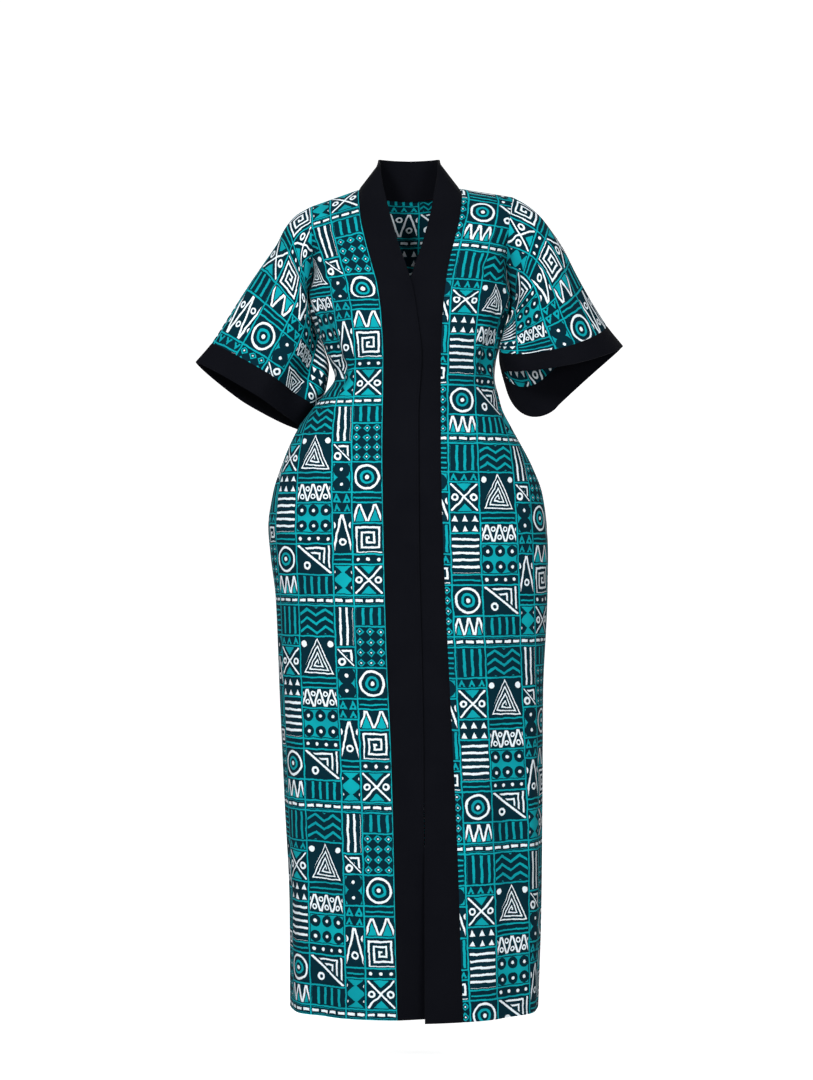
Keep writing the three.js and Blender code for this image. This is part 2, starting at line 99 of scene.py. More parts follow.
# The folds beside the armholes: a narrow crease in a wide hollow, and the back's share of them. On the way
# down to the underarm they grow and then fade, between these shares of the way
CREASE_DEPTH = 22
CREASE_SPREAD = 9
HOLLOW_DEPTH = 14
HOLLOW_SPREAD = 34
BACK_SHARE = 0.6
FOLD_GROWS = (0.3, 0.7)
FOLD_FADES = (0.88, 1.0)

# How a fold swells along its length, as a power of a sine, and what a degree round the body is counted as
SWELL_POWER = 1.5
MM_PER_DEGREE = 2.9

# Shifts of the print on each piece, across and up
PRINT_SHIFTS = {"back": (140, 35), "front_right": (0, 0), "front_left": (233, 70), "sleeve": (60, 20)}

SIDES = {
    "right": {"sign": -1, "shoulder_x": 173, "shoulder_z": -30, "neck_z": 0},
    "left": {"sign": 1, "shoulder_x": 182, "shoulder_z": -13, "neck_z": 2},
}

# Body sections by level: half widths, depth of each front, depth of the back
SECTION_COLUMNS = ("level", "right", "left", "front_right", "front_left", "back")
SECTION_ROWS = [
    (0, 205, 210, 66, 66, 84),
    (-50, 202, 206, 82, 82, 98),
    (-100, 196, 199, 100, 100, 109),
    (-150, 187, 190, 117, 117, 114),
    (-201, 177, 179, 134, 134, 112),
    (-240, 163, 168, 145, 145, 107),
    (-280, 147, 157, 147, 147, 99),
    (-301, 139, 152, 143, 143, 95),
    (-329, 129.5, 149.5, 134, 134, 90),
    (-359, 148.5, 156, 130, 130, 94),
    (-385, 170, 163, 131, 131, 102),
    (-418, 194, 180, 134, 134, 113),
    (-486, 224, 216, 141, 141, 134),
    (-532, 238, 233, 145, 145, 144),
    (-590, 246, 241, 147, 147, 149),
    (-639, 242, 243, 147, 147, 149),
    (-714, 233, 242, 145, 145, 146),
    (-882, 226, 234.5, 142, 142, 138),
    (-1060, 218, 233.5, 140, 140, 131),
    (-1250, 209, 231.5, 140, 151, 128),
    (HEM, 208, 226, 140, 162, 129),
]

# Distances of the band seams from the centre line
BAND_SEAM_ROWS = [
    (0, 88, 88),
    (-15, 87.5, 92),
    (-55, 84, 88),
    (-99, 75, 78),
    (-137, 65, 69),
    (-178, 54.5, 62),
    (-232, 47.5, 57),
    (-303, 44, 54),
    (-460, 45.5, 54),
    (-630, 43, 58),
    (-798, 38.5, 65.5),
    (-966, 31, 74),
    (-1060, 28, 78.5),
    (-1170, 25.5, 83),
    (-1330, 22, 88),
    (HEM, 20, 92),
]

# Free edges of the bands: x, rise above the seam's level, lift in front of the front
EDGE_COLUMNS = ("level", "x", "rise", "lift")
EDGE_ROWS = {
    "right": [
        (0, -52, 46, 8),
        (-12, -48, 27, 6),
        (-26, -41, 9, 4),
        (-55, -30, -7, 4),
        (-99, -17, -11, 3),
        (-137, -5, -9, 3.5),
        (-178, 6.5, -8, 4.5),
        (-232, 14, -4, 4.5),
        (-303, 21, 0, 5),
        (-400, 15.5, 0, 5),
        (-630, 17, 0, 4.5),
        (-798, 21, 0, 4.5),
        (-966, 24, 0, 4.5),
        (-1060, 24.5, 0, 3),
        (-1110, 25.5, 0, 0),
        (-1170, 26.5, 0, -3),
        (-1330, 28, 0, -8),
        (HEM, 28.5, 0, -11),
    ],
    "left": [
        (0, 52, 48, 8),
        (-12, 49, 30, 6),
        (-26, 43, 12, 3),
        (-55, 35, -4, 2),
        (-99, 22, -9, 0),
        (-137, 8, -12, -1),
        (-178, -1, -8, -1.5),
        (-232, -4, -4, -1.5),
        (-303, -6, 0, -1.5),
        (-460, -5, 0, -1.5),
        (-630, -1, 0, -1.5),
        (-798, 7, 0, -1.5),
        (-966, 17.5, 0, -1.5),
        (-1060, 25, 0, -0.5),
        (-1110, 26.5, 0, 1.5),
        (-1170, 26, 0, 3),
        (HEM, 26.5, 0, 4),
    ],
}
NECK_EDGE_ROWS = [
    (0, 52, -8, 46),
    (0.28, 54, 18, 56),
    (0.55, 46, 43, 60),
    (0.78, 27, 58, 61),
    (1, 0, 64, 61),
]

# The solids' large folds: degrees round the body, drift, top, bottom, half width in degrees, height
FOLDS = [
    (-66, 14, -195, -375, 8, -9),
    (-50, 6, -215, -390, 7, 5),
    (66, -12, -195, -375, 8, -9),
    (52, -6, -220, -390, 7, 4),
    (-40, -6, -560, -2200, 8, -5),
    (-62, 2, -640, -2200, 9, 5),
    (42, 8, -520, -2200, 8, -5),
    (64, 2, -560, -2200, 8, 5),
    (112, -3, -420, -2200, 9, -8),
    (130, 2, -260, -2000, 8, 7),
    (148, 4, -430, -2200, 9, -10),
    (165, -5, -215, -540, 6, -8),
    (172, 2, -480, -2200, 9, 8),
    (-112, 4, -420, -2200, 9, -8),
    (-130, -3, -260, -2000, 8, 7),
    (-150, 2, -400, -2200, 9, -10),
    (-163, 4, -215, -540, 6, -8),
    (-174, -3, -500, -2200, 8, 6),
]

# Finer creases, each along a line: degrees and level of both ends, half width and height
CREASES = [
    (-84, -120, -74, -262, 9, -6.8),
    (-70, -135, -62, -290, 8, 4.4),
    (-78, -250, -44, -196, 10, -3.2),
    (-72, -290, -40, -262, 9, -2.6),
    (-80, -318, -36, -306, 7, -3.2),
    (-78, -338, -30, -322, 7, 2.6),
    (-80, -356, -38, -336, 7, -2.8),
    (-74, -392, -48, -352, 8, -2.3),
    (84, -118, 72, -268, 9, -6.8),
    (70, -140, 60, -300, 8, 4.4),
    (78, -246, 46, -204, 10, -3.2),
    (76, -286, 34, -276, 8, -2.6),
    (80, -318, 30, -296, 7, -3.4),
    (80, -340, 28, -314, 7, 2.8),
    (82, -362, 32, -330, 7, -3.2),
    (78, -396, 40, -346, 8, -2.6),
    (-58, -470, -34, -640, 13, -2.5),
    (56, -450, 36, -660, 13, -2.8),
    (-60, -880, -50, -1160, 15, 2.5),
    (-34, -760, -30, -1120, 12, -2),
    (38, -820, 44, -1220, 14, -2.8),
    (62, -900, 56, -1330, 14, 2.8),
    (104, -170, 132, -300, 10, -5.4),
    (-104, -170, -132, -300, 10, -5.4),
    (118, -318, 168, -306, 7, -5.1),
    (-118, -318, -168, -306, 7, -5.1),
    (112, -345, 160, -338, 7, -4.4),
    (-114, -350, -160, -336, 7, -4.4),
    (126, -90, 150, -190, 12, -4.1),
    (-126, -90, -150, -190, 12, -4.1),
    (140, -700, 132, -1160, 15, -3.4),
    (-140, -760, -134, -1240, 15, -3.4),
    (25, -96, 60, -158, 10, 4),
    (27, -120, 64, -192, 9, -5),
    (-30, -150, -66, -214, 9, -3.5),
    (-26, -128, -60, -180, 9, 2.5),
]

RING_COLUMNS = "along top_x top_y top_z low_x low_y low_z front back sag hang power".split()
RING_ROWS = {
    "right": [
        (0, -173, 0, -30, -177, 0, -201, 62, 62, 0, 0, 2),
        (0.1, -198, 0, -45, -180.5, 7, -219, 65, 65, 0, 2, 2),
        (0.2, -217, 0, -67, -171.5, 19, -237, 67, 67, 0, 4, 1.95),
        (0.3, -231, 0, -94, -161.5, 31, -254, 68, 68, 1, 3, 1.9),
        (0.45, -256, -1, -131, -149, 42, -281, 67, 66, 1, 4, 1.8),
        (0.6, -281, -2, -168, -141.5, 45, -308, 66, 64, 2, 3, 1.7),
        (0.8, -313, -3, -218, -147, 45, -346, 64, 61, 3, 3, 1.62),
        (1, -345, -4, -268, -166, 47, -378, 62, 59, 4, 3, 1.55),
        (CUFF_END, -373, -5, -301, -188, 58, -418, 63, 60, 5, 4, 1.5),
    ],
    "left": [
        (0, 182, 0, -13, 179, 0, -201, 62, 62, 0, 0, 2),
        (0.1, 206, -1, -27, 181, -8, -213, 65, 65, 0, 3, 2),
        (0.2, 228, -3, -46, 175.5, -20, -224, 68, 67, 1, 7, 1.95),
        (0.3, 245, -5, -68, 170.5, -30, -234, 70, 69, 3, 12, 1.9),
        (0.45, 268, -8, -103, 164.5, -40, -247, 72, 70, 5, 20, 1.85),
        (0.6, 289, -10, -145, 161.5, -46, -259, 73, 71, 8, 31, 1.8),
        (0.8, 318, -13, -197, 157, -48, -273, 73, 72, 17, 48, 1.75),
        (1, 344, -15, -238, 155.5, -46, -287, 72, 72, 22, 64, 1.7),
        (CUFF_END, 372.5, -18, -274, 164, -40, -319, 73, 72, 17, 82, 1.65),
    ],
}

# Sleeve folds and creases: degrees round the ring, drift, start and end along the sleeve, half width in
# degrees, height
SLEEVE_FOLDS = [
    (128, -14, 0.02, 1.3, 16, -11),
    (98, -10, 0.02, 0.75, 12, 4),
    (58, 8, -0.1, 0.5, 12, -5),
    (-60, -10, -0.1, 0.6, 12, -5),
    (-128, 14, 0.02, 1.3, 16, -9),
    (-95, 8, 0.1, 0.9, 12, 4),
]
SLEEVE_CREASES = [
    (135, -6, 0, 1.2, 12, -30),
    (108, -6, 0.05, 1.1, 10, 5),
    (-142, 6, 0, 1.2, 16, -16),
    (86, 12, 0.04, 0.5, 7, -3),
    (74, 6, 0.1, 0.62, 6, 2),
    (112, -18, 0.2, 0.9, 7, -2.4),
    (36, 14, 0.3, 1, 8, -1.8),
    (-40, -10, 0.2, 1, 9, -2),
    (-84, 10, 0.1, 0.7, 8, -2.4),
]


def mix(a, b, share):
    return a + (b - a) * share


def smooth(share):
    return share * share * (3 - 2 * share)


def rising(value, low, high):
    """0 below one value, 1 above the other and smooth between them."""
    return smooth(np.clip((value - low) / (high - low), 0, 1))


def curve(at, value):
    """A smooth curve through the given points, without overshoot."""
    at, value = np.array(at, float), np.array(value, float)
    if at[0] > at[-1]:
        at, value = at[::-1], value[::-1]
    width = np.diff(at)
    rise = np.diff(value) / width
    turning = rise[:-1] * rise[1:] <= 0
    total = np.where(turning, 1, rise[:-1] + rise[1:])
    inner = np.where(turning, 0, 2 * rise[:-1] * rise[1:] / total)
    slope = np.concatenate([rise[:1], inner, rise[-1:]])

    def read(where):
        x = np.clip(where, at[0], at[-1])
        i = np.clip(np.searchsorted(at, x, side="right") - 1, 0, len(width) - 1)
        t = (x - at[i]) / width[i]
        h = smooth(t)
        ease = width[i] * t * (1 - t) * ((1 - t) * slope[i] - t * slope[i + 1])
        return value[i] * (1 - h) + value[i + 1] * h + ease

    return read


def curves(columns, rows):
    at = [row[0] for row in rows]
    return {name: curve(at, [row[i + 1] for row in rows]) for i, name in enumerate(columns[1:])}


SECTIONS = curves(SECTION_COLUMNS, SECTION_ROWS)
BAND_SEAMS = curves(("level", "right", "left"), BAND_SEAM_ROWS)
EDGES = {side: curves(EDGE_COLUMNS, rows) for side, rows in EDGE_ROWS.items()}
NECK_EDGE = curves(("share", "x", "y", "z"), NECK_EDGE_ROWS)
RINGS = {side: curves(RING_COLUMNS, rows) for side, rows in RING_ROWS.items()}


def fall(share):
    return np.maximum(0, 1 - np.abs(share) ** ROUND) ** (1 / ROUND)


def roll(level):
    return np.sqrt(1 - (1 - np.clip(-level / SHOULDER_ROLL, 0, 1)) ** 2)


def turn_at(x, half):
    return np.arccos(np.clip(x / half, 0, 1) ** (ROUND / 2))


def row_levels():
    """Levels of all rows, from the hem to the shoulder seams."""
    lower = np.linspace(HEM, UNDERARM, LOWER_ROWS)
    bend = np.radians(90 * np.arange(1, UNDERARM_ROWS + 1) / UNDERARM_ROWS)
    chest = np.linspace(ARMHOLE_MID, -SHOULDER_ROLL, CHEST_ROWS + 1)[1:]
    over = np.radians(90 * np.arange(1, ROLL_ROWS + 1) / ROLL_ROWS)
    upper = [mix(ARMHOLE_MID, UNDERARM, np.cos(bend)), chest, -SHOULDER_ROLL * (1 - np.sin(over))]
    return np.concatenate([lower, *upper])


LEVELS = row_levels()
UNDERARM_ROW = LOWER_ROWS - 1


def ridge_height(facts, x):
    out = (x - NECK_HALF) / (facts["shoulder_x"] - NECK_HALF)
    straight = mix(facts["neck_z"], facts["shoulder_z"], out)
    share = np.clip(x / NECK_HALF, 0, 1)
    dipped = facts["neck_z"] * smooth(share) - NECK_DIP * (1 - share**2)
    return np.where(x >= NECK_HALF, straight, dipped)


def swell_at(share):
    return np.sin(np.pi * np.clip(share, 0, 1)) ** SWELL_POWER


def wrapped(degrees):
    return degrees - 360 * np.round(degrees / 360)


def body_push(turn, z):
    """How far folds and creases push the body out, by degrees from the centre front and height."""
    push = np.zeros(np.broadcast(turn, z).shape)
    for at, drift, top, bottom, width, height in FOLDS:
        along = (top - z) / (top - bottom)
        away = wrapped(turn - at - drift * along) / width
        push += height * swell_at(along) * np.exp(-away * away)
    for turn_a, z_a, turn_b, z_b, width, height in CREASES:
        push += crease(turn, z, (turn_a, z_a), (turn_b, z_b), width) * height
    return push


def crease(turn, z, start, end, width):
    """A soft ridge along a line between two points given by degrees and level."""
    run = np.array([(end[0] - start[0]) * MM_PER_DEGREE, end[1] - start[1]])
    dx, dz = wrapped(turn - start[0]) * MM_PER_DEGREE, z - start[1]
    share = (dx * run[0] + dz * run[1]) / (run @ run)
    across = (dx * run[1] - dz * run[0]) / math.sqrt(run @ run)
    return swell_at(share) * np.exp(-((across / width) ** 2))


def body_points(side, face, x, level):
    """Points of the body at distances x from the centre line."""
    facts = SIDES[side]
    half = SECTIONS[side](level)
    is_front = face == "front"
    depth = -SECTIONS["front_" + side](level) if is_front else SECTIONS["back"](level)
    seam_y = 0 if is_front else NECK_BACK * np.sqrt(np.maximum(0, 1 - (x / NECK_HALF) ** 2))
    y = mix(seam_y, depth * fall(x / half), roll(level))
    lean = np.where(level > UNDERARM, 1 - level / UNDERARM, 0)
    z = level + lean * ridge_height(facts, x)
    turn = turn_at(x, half)
    degrees = np.degrees(turn)
    push = body_push(facts["sign"] * (90 - degrees if is_front else 90 + degrees), z)
    out_x, out_y = np.cos(turn) / half, np.sign(depth) * np.sin(turn) / np.abs(depth)
    size = np.hypot(out_x, out_y)
    points = [facts["sign"] * (x + out_x / size * push), y + out_y / size * push, z]
    return np.stack(np.broadcast_arrays(*points), -1)


def row_ends(side, face):
    """Distances from the centre line at which the rows end, at the side seam or the armhole."""
    facts, half = SIDES[side], SECTIONS[side]
    depth = SECTIONS["front_right" if face == "front" else "back"]

    def reached(level, reach):
        share = np.minimum(1, reach / (depth(level) * roll(level)))
        return half(level) * fall(share)

    down = np.clip((LEVELS - ARMHOLE_MID) / (UNDERARM - ARMHOLE_MID), 0, 1)
    below = reached(np.minimum(LEVELS, -1), ARMHOLE_REACH * np.sqrt(1 - down**2))
    up = 1 - LEVELS / ARMHOLE_MID
    above = mix(reached(np.array(float(ARMHOLE_MID)), ARMHOLE_REACH), facts["shoulder_x"], up**2)
    ends = np.where(LEVELS <= ARMHOLE_MID + TINY, below, above)
    return np.where(LEVELS <= UNDERARM + TINY, half(LEVELS), ends)


def body_rows(side, face, start, end, count):
    """A grid of body points between two distances for every row, evenly spaced in turn."""
    half = SECTIONS[side](LEVELS)
    share = np.linspace(0, 1, count + 1)
    turn = mix(turn_at(start, half)[:, None], turn_at(end, half)[:, None], share)
    x = half[:, None] * np.maximum(0, np.cos(turn)) ** (2 / ROUND)
    x[:, 0], x[:, -1] = start, end
    return body_points(side, face, x, LEVELS[:, None])


def front_grid(side):
    seam = np.where(LEVELS == 0, NECK_HALF, BAND_SEAMS[side](LEVELS))
    return body_rows(side, "front", seam, row_ends(side, "front"), FRONT_COLUMNS)


def back_grid():
    split = mix(NECK_HALF * NECK_PANEL_SHARE, NECK_HALF, np.maximum(0, 1 - LEVELS / UNDERARM))
    halves = []
    for side in SIDES:
        inner = body_rows(side, "back", np.zeros_like(split), split, NECK_COLUMNS)
        outer = body_rows(side, "back", split, row_ends(side, "back"), FRONT_COLUMNS)
        halves.append(np.concatenate([inner, outer[:, 1:]], 1))
    return np.concatenate([halves[0][:, ::-1], halves[1][:, 1:]], 1)


def band_grid(side, front, back):
    """The band up the front edge and round the neck to the centre back, from its seam to its free edge."""
    sign, edges = SIDES[side]["sign"], EDGES[side]
    share = np.linspace(0, 1, BAND_COLUMNS + 1)[:, None]
    height = LEVELS + edges["rise"](LEVELS)

    def depth_at(x):
        level = np.minimum(0, height)
        depth = SECTIONS["front_" + side](level)
        return depth * fall(x / SECTIONS[side](level)) * roll(LEVELS)

    seams = front[:, 0]
    x = edges["x"](LEVELS)
    frees = np.stack([x, -depth_at(x) - edges["lift"](LEVELS), height], -1)
    rows = seams[:, None] * (1 - share) + frees[:, None] * share
    for j in range(BAND_COLUMNS + 1):
        chord = mix(depth_at(seams[:, 0]), depth_at(x), share[j, 0])
        rows[:, j, 1] -= depth_at(rows[:, j, 0]) - chord
    centre = FRONT_COLUMNS + NECK_COLUMNS
    round_neck = np.arange(1, NECK_COLUMNS + 1)
    seams = back[-1, centre + sign * (NECK_COLUMNS - round_neck)]
    at = round_neck / NECK_COLUMNS
    frees = np.stack([sign * NECK_EDGE["x"](at), NECK_EDGE["y"](at), NECK_EDGE["z"](at)], -1)
    neck = seams[:, None] * (1 - share) + frees[:, None] * share
    return np.concatenate([rows, neck])


def armhole_loop(side, front, back):
    column = 0 if side == "right" else -1
    return np.concatenate([front[UNDERARM_ROW:, -1], back[-2:UNDERARM_ROW:-1, column]])


def ring_frame(side, along):
    ring = RINGS[side]
    top, low = (np.array([float(ring[end + axis](along)) for axis in "xyz"]) for end in ("top_", "low_"))
    return (top + low) / 2, (top - low) / 2


def sleeve_ring(side, along, turn, crisp):
    """One ring of a sleeve. Turn is counted from its highest point towards the front."""
    ring = RINGS[side]
    centre, up = ring_frame(side, along)
    forward = np.array([up[1], -up[0], 0.0])
    forward /= np.linalg.norm(forward) * (1 if forward[1] < 0 else -1)
    forward = mix(np.array([0.0, -1.0, 0.0]), forward, min(1, along))
    forward /= np.linalg.norm(forward)
    names = ("front", "back", "sag", "hang", "power")
    front, back, sag, hang, power = (float(ring[name](along)) for name in names)
    rise, out = np.cos(turn), np.sin(turn)
    is_front = out >= 0
    swell = np.abs(out) ** (2 / power)
    reach = np.where(is_front, front, -back)
    drop = np.where(is_front, sag, hang * (1 - HANG_LEAN * rise))
    lift = np.sign(rise) * np.abs(rise) ** (2 / power)
    points = centre + lift[:, None] * up + (swell * reach)[:, None] * forward
    points[:, 2] -= drop * swell
    push = ring_push(np.degrees(turn), along, SLEEVE_FOLDS + (SLEEVE_CREASES if crisp else []))
    return points + (push * np.sign(reach))[:, None] * forward


def ring_push(degrees, along, folds):
    push = np.zeros_like(degrees)
    for at, drift, start, end, width, height in folds:
        share = (along - start) / (end - start)
        away = (degrees - at - drift * share) / width
        push += height * swell_at(share) * np.exp(-away * away)
    return push


def sleeve_grid(side, loop, alongs):
    """Rings from the armhole on. The armhole's own shape fades into the sleeve's form."""
    centre, up = ring_frame(side, 0)
    share = np.clip((loop - centre) @ up / (up @ up), -1, 1)
    turn = np.arccos(share)
    turn[len(LEVELS) - UNDERARM_ROW :] *= -1
    strays = loop - sleeve_ring(side, 0, turn, False)
    rings = []
    for along in alongs:
        left = 1 - smooth(min(1, along / SLEEVE_BLEND))
        rings.append(sleeve_ring(side, along, turn, True) + strays * left)
    return np.stack(rings)


def closed_rows(grid, closed):
    """A tube's rows end in their first point once more. Those of other pieces stay as they are."""
    return np.concatenate([grid, grid[:, :1]], 1) if closed else grid


def corners(grid):
    return grid[:-1, :-1], grid[:-1, 1:], grid[1:, 1:], grid[1:, :-1]


def unit(vectors):
    return vectors / np.maximum(np.linalg.norm(vectors, axis=-1, keepdims=True), TINY)


def cell_normals(part):
    """Sum of the unit normals of the cells round each point."""
    ring = closed_rows(part["grid"], part["closed"])
    a, b, c, d = corners(ring)
    normal = unit(np.cross(c - a, d - b) * (-1 if part["flip"] else 1))
    total = np.zeros_like(ring)
    for i in (slice(None, -1), slice(1, None)):
        for j in (slice(None, -1), slice(1, None)):
            total[i, j] += normal
    if part["closed"]:
        total[:, 0] += total[:, -1]
        total = total[:, :-1]
    return total


def weld(parts):
    """Gives points that several pieces share one common normal, so that their shells meet."""
    points = np.concatenate([part["grid"].reshape(-1, 3) for part in parts])
    sums = np.concatenate([cell_normals(part).reshape(-1, 3) for part in parts])
    steps = np.round(points * WELD_STEPS_PER_MM).astype(np.int64)
    _, same = np.unique(steps, axis=0, return_inverse=True)
    same = same.reshape(-1)
    common = np.zeros((same.max() + 1, 3))
    np.add.at(common, same, sums)
    ends = np.cumsum([part["grid"][..., 0].size for part in parts])
    for part, normals in zip(parts, np.split(unit(common)[same], ends[:-1])):
        part["normals"] = normals.reshape(part["grid"].shape)


def armhole_share(levels):
    """How strongly the cloth is drawn in beside the armhole, by level: most above its lowest point."""
    share = np.clip(levels / UNDERARM, 0, 1)
    return rising(share, *FOLD_GROWS) * (1 - rising(share, *FOLD_FADES))


def drawn_in(distance, share):
    """Depth of the fold beside the armhole: a narrow crease in a wide hollow."""
    narrow = CREASE_DEPTH * np.exp(-((distance / CREASE_SPREAD) ** 2))
    wide = HOLLOW_DEPTH * np.exp(-((distance / HOLLOW_SPREAD) ** 2))
    return share * (narrow + wide)


def body_dips(grid, column):
    """Shifts along +Y that draw in a front beside the armhole, which is at one end of its rows."""
    across = lengths(grid, 1)
    across = np.abs(across - across[:, column][:, None])
    return drawn_in(across, armhole_share(LEVELS)[:, None])


def sleeve_dips(grid):
    """Shifts along Y that draw in the front and the back of a sleeve beside the armhole."""
    levels = LEVELS[UNDERARM_ROW:]
    front = armhole_share(levels)
    share = np.concatenate([front, -BACK_SHARE * front[-2:0:-1]])
    return drawn_in(lengths(grid, 0), share[None, :])


def dipped(part):
    """The grid with the folds beside its armholes, and its sewn edges pressed in as a seam is."""
    grid, normals = part["grid"].copy(), part["normals"]
    grid[..., 1] += part["dips"]
    for rows, columns in part["seams"]:
        grid[rows, columns] -= SEAM_DIP * normals[rows, columns]
    return grid


def add_object(name, data):
    made = bpy.data.objects.new(name, data)
    bpy.context.scene.collection.objects.link(made)
    return made


def rim(edge, layer):
    a, b = edge[:-1], edge[1:]
    return np.stack([a, a + layer, b + layer, b], -1)


def shell_faces(rows, width, closed):
    """Faces of a shell: its outside, its inside, and the rim between them."""
    layer = rows * width
    index = closed_rows(np.arange(layer).reshape(rows, width), closed)
    a, b, c, d = corners(index)
    outside = np.stack([a, b, c, d], -1).reshape(-1, 4)
    inside = np.stack([a, d, c, b], -1).reshape(-1, 4) + layer
    rims = [rim(index[0], layer), rim(index[-1][::-1], layer)]
    if not closed:
        rims += [rim(index[::-1, 0], layer), rim(index[:, -1], layer)]
    return np.concatenate([outside, inside, *rims])


def shell(part, material):
    """A mesh of one piece, with its inside one thickness behind its grid of points."""
    grid, closed = dipped(part), part["closed"]
    inner = grid - part["normals"] * THICKNESS[part["slot"]]
    points = np.concatenate([grid.reshape(-1, 3), inner.reshape(-1, 3)]) * MM
    faces = shell_faces(*grid.shape[:2], closed)
    if part["flip"]:
        faces = faces[:, ::-1]
    mesh = bpy.data.meshes.new(part["name"])
    mesh.from_pydata(points.tolist(), [], faces.tolist())
    ring = closed_rows(grid, closed)
    cloth = cloth_uv(ring, *part["print"])
    stitch = stitch_uv(ring, *part["stitch"]) if part["stitch"] else np.zeros_like(cloth)
    write_uv(mesh, "cloth", cloth, closed)
    write_uv(mesh, "stitch", stitch, closed)
    mesh.materials.append(material)
    mesh.shade_smooth()
    mesh.set_sharp_from_angle(angle=math.radians(SHARP_ANGLE))
    return add_object(part["name"], mesh)


def past_last(mesh, column, width):
    """Columns in which the last cell of each ring ends in the extra column, not in the first one."""
    start = np.zeros(len(mesh.polygons), np.int64)
    total = np.zeros(len(mesh.polygons), np.int64)
    mesh.polygons.foreach_get("loop_start", start)
    mesh.polygons.foreach_get("loop_total", total)
    face = np.repeat(np.arange(len(total)), total)
    highest = np.maximum.reduceat(column, start)
    return np.where((highest[face] == width - 1) & (column == 0), width, column)


def write_uv(mesh, name, uv, closed):
    """Writes coordinates to both sides of a shell. A tube's have one column more than its points."""
    rows, columns = uv.shape[:2]
    width = columns - 1 if closed else columns
    layer = mesh.uv_layers.new(name=name)
    vertex = np.zeros(len(mesh.loops), np.int64)
    mesh.loops.foreach_get("vertex_index", vertex)
    at = vertex % (rows * width)
    row, column = at // width, at % width
    if closed:
        column = past_last(mesh, column, width)
    layer.data.foreach_set("uv", uv[row, column].reshape(-1).astype(np.float32))


def lengths(points, axis):
    """Running length along one axis of a grid, in mm."""
    steps = np.linalg.norm(np.diff(points, axis=axis), axis=-1)
    pad = [(1, 0) if i == axis else (0, 0) for i in range(steps.ndim)]
    return np.pad(np.cumsum(steps, axis=axis), pad)


def cloth_uv(grid, zero=0, shift=(0, 0), sign=1):
    """Print coordinates in metres: across each row from a zero column, and up the rows."""
    across = lengths(grid, 1)
    across = sign * (across - across[:, zero][:, None] + shift[0])
    up = lengths(grid, 0).mean(1)[:, None] + np.zeros_like(across)
    return np.stack([across, up + shift[1]], -1) * MM


def stitch_uv(grid, axis, is_both):
    """Stitch coordinates in metres: distance from the first or the nearer edge, and length along it."""
    away = lengths(grid, axis)
    if is_both:
        away = np.minimum(away, away.max(axis, keepdims=True) - away)
    return np.stack([away, lengths(grid, 1 - axis)], -1) * MM


def by_math(operation):
    """A method of Number that adds the Math node of one operation."""

    def method(self, *others):
        return maths(operation, self, *others)

    return method


class Number:
    """A number that a material works out at each point, one Math node for each step."""

    tree = None

    def __init__(self, socket):
        self.socket = socket

    def __rsub__(self, other):
        return maths("SUBTRACT", other, self)

    __add__ = by_math("ADD")
    __sub__ = by_math("SUBTRACT")
    __mul__ = by_math("MULTIPLY")
    __truediv__ = by_math("DIVIDE")
    __lt__ = by_math("LESS_THAN")
    __gt__ = by_math("GREATER_THAN")
    __abs__ = by_math("ABSOLUTE")


def feed(node, inputs):
    """Gives a node's inputs, by name or place, a Number, another node's socket or a plain value."""
    for name, value in inputs.items():
        source = value.socket if isinstance(value, Number) else value
        if isinstance(source, bpy.types.NodeSocket):
            Number.tree.links.new(source, node.inputs[name])
        else:
            node.inputs[name].default_value = source


def add_node(kind, inputs, **settings):
    """A new node of the material that is being made."""
    node = Number.tree.nodes.new(kind)
    for name, value in settings.items():
        setattr(node, name, value)
    feed(node, inputs)
    return node


def maths(operation, *values):
    node = add_node("ShaderNodeMath", dict(enumerate(values)), operation=operation)
    return Number(node.outputs[0])


def part_of(value):
    return maths("FRACT", value)


def lower(a, b):
    return maths("MINIMUM", a, b)


def higher(a, b):
    return maths("MAXIMUM", a, b)


def far(x, y):
    return maths("SQRT", x * x + y * y)


# The print. A pitch is the side of its smallest square, in metres. The rest are in pitches: the repeat's
# height, half a zigzag's line, half a frame's line, the distance from a frame's middle to its motif, and
# how far all lines wander, widely and finely
PITCH = 0.0175
REPEAT_UP = 20
LINE = 0.1
FRAME_LINE = 0.075
FRAME_GAP = 0.17
WOBBLE = 0.26
BLOT = 0.09
